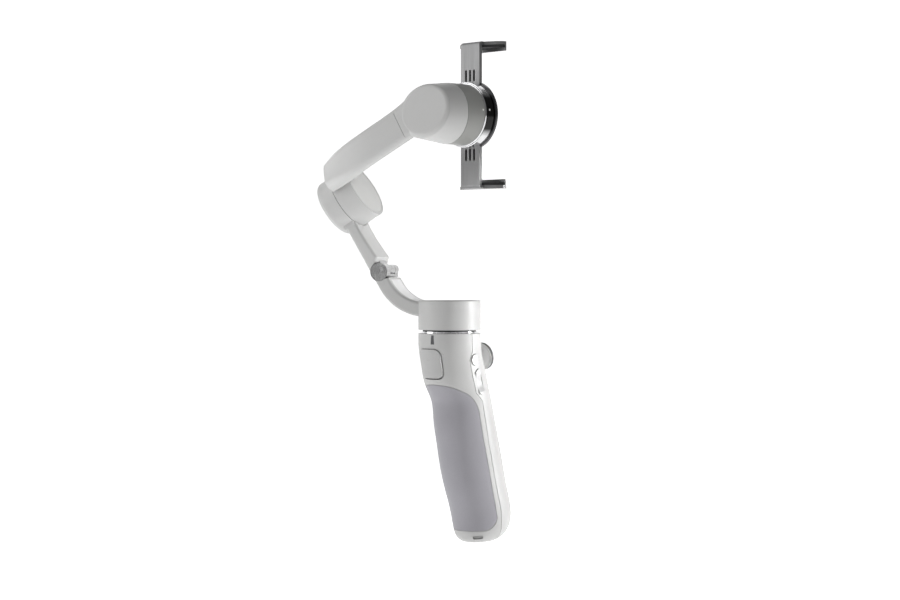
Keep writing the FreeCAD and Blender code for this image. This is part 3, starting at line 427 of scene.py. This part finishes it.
def block(mesh, centre, half, turn=None, bevel=0.0):
    """A small rounded bar."""
    turn = turn or Matrix.Identity(3)
    shift = Matrix.Translation(centre) @ turn.to_4x4() @ Matrix.Diagonal((*[2 * h for h in half], 1))
    made = bmesh.ops.create_cube(mesh, size=1.0, matrix=shift)
    if bevel:
        edges = list({edge for vert in made["verts"] for edge in vert.link_edges})
        bmesh.ops.bevel(mesh, geom=edges, offset=bevel, segments=2, affect="EDGES", profile=0.7)


def alignment_dots():
    """Two pale dots that show how the clamp goes on."""
    clear = moulded("dot paint", (0.80, 0.80, 0.78), 0.35, depth=0.003)
    lift = math.radians(6)
    outward = Vector((-math.cos(lift), 0, math.sin(lift)))
    dots = (("housing_dot", "roll_housing", 10.2), ("ring_dot", "clamp_ring", 6.3))
    for name, node, level in dots:
        low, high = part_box(node)
        radius = (high[0] - low[0]) / 2
        mesh = bmesh.new()
        at = CLAMP + Y * level * MM + outward * (radius - 0.06 * MM)
        profile = [(0, 0), (0.62 * MM, 0), (0.60 * MM, 0.08 * MM), (0.40 * MM, 0.13 * MM),
                   (0, 0.14 * MM)]
        lathe(mesh, profile, at, outward, 24, False)
        piece(name, mesh, clear, "phone_clamp")


def joystick_rim():
    """Darker soft ring around the joystick's cap, with fine thumb notches."""
    rim = rubber("joystick rim rubber", (0.13, 0.13, 0.133), 0.6)
    # How far each point of the rim's section stands out from the cap's edge and below its top
    section = [(-0.9, 0.25), (-0.35, 0.02), (0.02, 0.45), (0.09, 0.9), (0.09, 2.2), (-0.2, 2.35)]
    profile = [(STICK_CAP_R + out * MM, STICK_CAP_TOP - down * MM) for out, down in section]
    mesh = bmesh.new()
    lathe(mesh, profile, STICK_AT, STICK, 96)
    piece("joystick_rim", mesh, rim, "joystick")
    mesh = bmesh.new()
    for out in around(STICK, 40):
        at = STICK_AT + STICK * (STICK_CAP_TOP - 1.2 * MM) + out * (STICK_CAP_R + 0.10 * MM)
        block(mesh, at, (0.05 * MM, 0.14 * MM, 0.32 * MM), along(STICK, out), 0.03 * MM)
    piece("joystick_notches", mesh, rim, "joystick")


def jaw_ribs():
    """Soft ribs that grip the phone's edges, on the face of each jaw pad."""
    for side, sign in (("upper", -1), ("lower", 1)):
        low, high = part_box(side + "_jaw_pad")
        face = low[2] if sign < 0 else high[2]
        mesh = bmesh.new()
        count = 9
        span = (high[0] - low[0]) * 0.86
        for i in range(count):
            x = (low[0] + high[0]) / 2 + span * (i / (count - 1) - 0.5)
            block(mesh, Vector((x, low[1] + 0.9 * MM, face + sign * 0.08 * MM)),
                  (0.32 * MM, 0.8 * MM, 0.14 * MM), None, 0.08 * MM)
        piece(side + "_jaw_ribs", mesh, pad_rubber, side + "_jaw")


def jaw_slot_painted_shade():
    """Painted shade: near-black sheets behind the jaws' slots, where each strip slides past the
    clamp's body, so the slots read dark.
    """
    slot_shade_sheet = moulded("slot painted shade plastic", (0.012, 0.012, 0.012), 0.7)
    for side, sign in (("upper", 1), ("lower", -1)):
        at = CLAMP + Vector((0, STRIP_FRONT, sign * SLOT_LEVEL))
        mesh = bmesh.new()
        block(mesh, at, (5.2 * MM, 0.11 * MM, 4.6 * MM), None, 0.05 * MM)
        # painted shade: a near-black sheet in front of the strip, dark inside the slot
        piece(side + "_slot_painted_shade", mesh, slot_shade_sheet, side + "_jaw")


def back_pad_ridges():
    """Thin rings moulded on the pad behind the phone."""
    low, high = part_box("clamp_pad")
    radius = (high[0] - low[0]) / 2
    mesh = bmesh.new()
    for share in (0.30, 0.50, 0.70, 0.90):
        r = radius * share
        lathe(mesh, [(r - 0.35 * MM, 0.0), (r - 0.15 * MM, 0.12 * MM), (r + 0.15 * MM, 0.12 * MM),
                     (r + 0.35 * MM, 0.0), (r, -0.1 * MM)], Vector((CLAMP.x, low[1], CLAMP.z)), -Y, 64)
    piece("back_pad_ridges", mesh, pad_rubber, "phone_clamp")


def hinge_painted_shadow():
    """Painted shadow: dark segments put in the gap around the hinge's round cheek where its shade
    falls, open towards the barrel.
    """
    across = FOLD if FOLD.y > 0 else -FOLD
    slant = (TILT * TILT.z - Z).normalized()
    centre = FOLD_AT + TILT * CHEEK_OUT + slant * CHEEK_DOWN
    mesh = bmesh.new()
    for out in around(across, 44):
        if out.dot(TILT) > -0.35:
            at = centre + across * SHADOW_RING_SIDE + out * SHADOW_RING_R
            block(mesh, at, (0.14 * MM, 0.42 * MM, 1.85 * MM), along(across, out))
    # painted shadow: dark rubber blocks standing in for the shade in the gap
    piece("hinge_painted_shadow", mesh, pad_rubber, "pan_arm")


alignment_dots()
joystick_rim()
hinge_painted_shadow()
jaw_ribs()
jaw_slot_painted_shade()
back_pad_ridges()


# ------------------------------------------------------------------ stage

def stage_floor():
    """A plain pale sweep: floor and a far curved back in one sheet."""
    width, near, far, height, bend = 8.0, -3.0, 3.0, 3.5, 1.2
    profile = [(near, 0.0)]
    steps = 16
    for i in range(steps + 1):
        angle = math.pi / 2 * i / steps
        profile.append((far - bend + bend * math.sin(angle), bend - bend * math.cos(angle)))
    profile.append((far, height))
    mesh = bmesh.new()
    toward = Vector((VIEW.x, VIEW.y, 0)).normalized()
    side = toward.cross(Z)
    rows = []
    for depth, rise in profile:
        middle_point = toward * depth + Z * rise
        rows.append([mesh.verts.new(middle_point + side * shift) for shift in (-width / 2, width / 2)])
    for a, b in zip(rows, rows[1:]):
        mesh.faces.new((a[0], a[1], b[1], b[0])).smooth = True
    data = bpy.data.meshes.new("sweep")
    mesh.to_mesh(data)
    mesh.free()
    sweep = added("sweep", data)
    s = Surface("pale sweep", (0.90, 0.90, 0.90), 0.9, Emission_Color=(1, 1, 1, 1),
                Emission_Strength=SWEEP_GLOW)
    s.mottle(3.0, 0.004)
    data.materials.append(s.material)


def area_light(name, at, aim, size, power, spread=180):
    data = bpy.data.lights.new(name, "AREA")
    data.shape = "RECTANGLE"
    data.size, data.size_y = size
    data.energy = power
    data.spread = math.radians(spread)
    light = added(name, data)
    light.location = at
    light.rotation_euler = (Vector(at) - Vector(aim)).to_track_quat("Z", "Y").to_euler()


CAMERA_AT = Vector((-0.8326, 0.8669, 0.1570))
CAMERA_RIGHT = Vector((-0.7122, -0.7020, -0.0004)).normalized()
VIEW = Vector((0.7019, -0.7121, -0.0116)).normalized()
CAMERA_UP = CAMERA_RIGHT.cross(VIEW).normalized()
LENS_MM = 81.12


def camera():
    data = bpy.data.cameras.new("camera")
    data.lens = LENS_MM
    data.sensor_width = 36.0
    data.clip_start = 0.05
    made = added("camera", data)
    turn = Matrix((VIEW.cross(CAMERA_UP), CAMERA_UP, VIEW * -1)).transposed().to_4x4()
    made.matrix_world = Matrix.Translation(CAMERA_AT) @ turn
    bpy.context.scene.camera = made


def from_camera(right, up, back):
    """A place given from the object's middle, as the camera sees it."""
    return MIDDLE + CAMERA_RIGHT * right + CAMERA_UP * up - VIEW * back


def lights():
    """Two narrow lights from the right that mostly spare the head, and broad ones for the rest."""
    narrow = (("right_low", 0.04, 0.056, 13), ("right_high", 0.145, 0.066, 11))
    for name, level, power, spread in narrow:
        place = from_camera(1.0, 0, 0.04)
        place.z = level
        area_light(name, place, (MIDDLE.x, MIDDLE.y, level), (0.20, 0.03), power, spread)
    area_light("left", from_camera(-1.0, 0.30, 0.12), MIDDLE, (0.6, 1.2), 4.0)
    area_light("top", from_camera(-0.5, 1.1, 0.25), MIDDLE, (1.0, 0.7), 3.0)
    world = bpy.data.worlds.new("studio")
    world.use_nodes = True
    background = world.node_tree.nodes["Background"]
    background.inputs["Color"].default_value = (1, 1, 1, 1)
    background.inputs["Strength"].default_value = WORLD_STRENGTH
    bpy.context.scene.world = world


stage_floor()
camera()
lights()
bpy.context.scene.view_settings.view_transform = "Standard"
bpy.context.scene.view_settings.look = "None"
